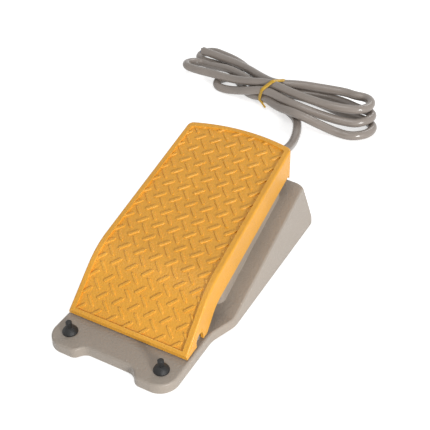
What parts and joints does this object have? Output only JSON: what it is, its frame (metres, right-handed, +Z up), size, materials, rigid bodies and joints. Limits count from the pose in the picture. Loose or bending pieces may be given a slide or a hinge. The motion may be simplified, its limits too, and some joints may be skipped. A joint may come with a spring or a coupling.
{
  "type": "foot switch",
  "caption": "Industrial treadle foot switch: a textured yellow pedal hinged on a grey cast base over a return spring and a snap switch, with a hanked mains cord.",
  "frame": {"origin": "on the floor under the middle of the base", "axes": "+X right, +Y from the toe plate to the cord outlet, +Z up"},
  "size_m": [0.2345, 0.4418, 0.0782],
  "materials": {
    "base_paint": "smooth light grey stoving enamel on cast aluminium",
    "pedal_paint": "smooth yellow stoving enamel on cast aluminium",
    "steel": "ground",
    "spring_steel": "oiled spring steel",
    "zinc_steel": "zinc plated",
    "bronze": "sintered bronze",
    "brass": "plain",
    "rubber": "moulded, matt",
    "case_plastic": "moulded phenolic",
    "button_plastic": "moulded acetal",
    "cord_sheath": "grey PVC sheath, satin",
    "wire_brown": "PVC insulation",
    "wire_blue": "PVC insulation",
    "wire_earth": "PVC insulation",
    "tie_yellow": "PVC coated wire tie"
  },
  "bodies": {
    "base": {"base_casting": "base_paint", "pivot_shaft": "steel", "shaft_clips": "spring_steel", "thrust_washers": "steel", "guide_bush": "bronze", "rod_seal": "rubber", "return_spring": "spring_steel", "switch_case": "case_plastic", "lever_pin": "steel", "switch_terminals": "brass", "switch_bracket": "zinc_steel", "bracket_screws": "zinc_steel", "switch_screws": "zinc_steel", "switch_nuts": "zinc_steel", "bottom_cover": "zinc_steel", "cover_gasket": "rubber", "cover_screws": "zinc_steel", "front_feet": "rubber", "rear_feet": "rubber", "cord_bushing": "rubber", "cord_sheath_end": "cord_sheath", "cord_clamp": "zinc_steel", "clamp_screws": "zinc_steel", "earth_lug": "brass", "earth_screw": "zinc_steel", "brown_wire": "wire_brown", "blue_wire": "wire_blue", "earth_wire": "wire_earth", "cord": "cord_sheath", "cord_hank": "cord_sheath", "cord_tie": "tie_yellow"},
    "treadle": {"pedal": "pedal_paint", "pivot_bushes": "bronze", "adjusting_screw": "steel", "lock_nut": "zinc_steel"},
    "rod": {"push_rod": "steel", "rod_clip": "spring_steel"},
    "lever": {"switch_lever": "spring_steel"},
    "button": {"switch_button": "button_plastic"}
  },
  "joints": [
    {"name": "pedal_pivot", "type": "hinge", "parent": "base", "child": "treadle", "pos_m": [0, -0.064, 0.013], "axis": [1, 0, 0], "range_deg": [-2, 0], "stiffness_Nm_per_rad": 8, "springref_deg": 4.3, "deforming": ["return_spring"]},
    {"name": "push_rod_slide", "type": "slide", "parent": "base", "child": "rod", "axis": [0, 0, 1], "range_m": [-0.0031, 0]},
    {"name": "lever_pivot", "type": "hinge", "parent": "base", "child": "lever", "pos_m": [0, 0.001, 0.02759], "axis": [1, 0, 0], "range_deg": [-9, 0]},
    {"name": "button_slide", "type": "slide", "parent": "base", "child": "button", "axis": [0, 0, 1], "range_m": [-0.00095, 0]}
  ],
  "couplings": [
    {"joint": "push_rod_slide", "follows": "pedal_pivot", "m_per_rad": 0.085},
    {"joint": "lever_pivot", "follows": "pedal_pivot", "ratio": 4.25},
    {"joint": "button_slide", "follows": "pedal_pivot", "m_per_rad": 0.0255}
  ]
}
